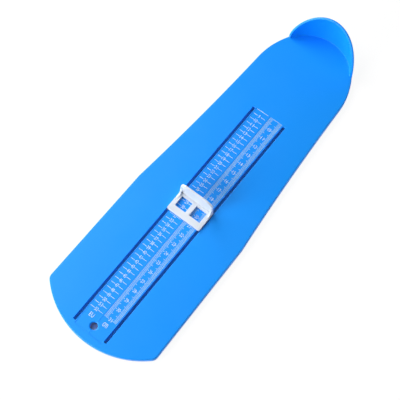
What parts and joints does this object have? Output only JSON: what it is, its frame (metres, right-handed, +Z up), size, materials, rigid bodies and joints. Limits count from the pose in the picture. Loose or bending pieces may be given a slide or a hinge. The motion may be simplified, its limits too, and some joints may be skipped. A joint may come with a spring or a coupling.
{
  "type": "foot measuring device",
  "caption": "Flat foot gauge with an upright heel cup, two printed length scales and a toe stop that slides along two slots.",
  "frame": {"origin": "on the table, under the middle of the object's box", "axes": "+Y from the toe end to the heel cup, +Z up, +X to the right when looking along +Y"},
  "size_m": [0.1102, 0.3396, 0.037],
  "materials": {
    "board_plastic": "satin injection-moulded plastic, bright blue",
    "printed_ink": "thin white pad-printed ink",
    "slider_plastic": "satin injection-moulded plastic, white"
  },
  "bodies": {
    "board": {"measuring_board": "board_plastic", "size_scale": "printed_ink", "centimetre_scale": "printed_ink"},
    "slider": {"slider_frame": "slider_plastic", "slider_keeper": "slider_plastic"}
  },
  "joints": [
    {"name": "toe_stop_slide", "type": "slide", "parent": "board", "child": "slider", "axis": [0, 1, 0], "range_m": [-0.119, 0.101]}
  ]
}
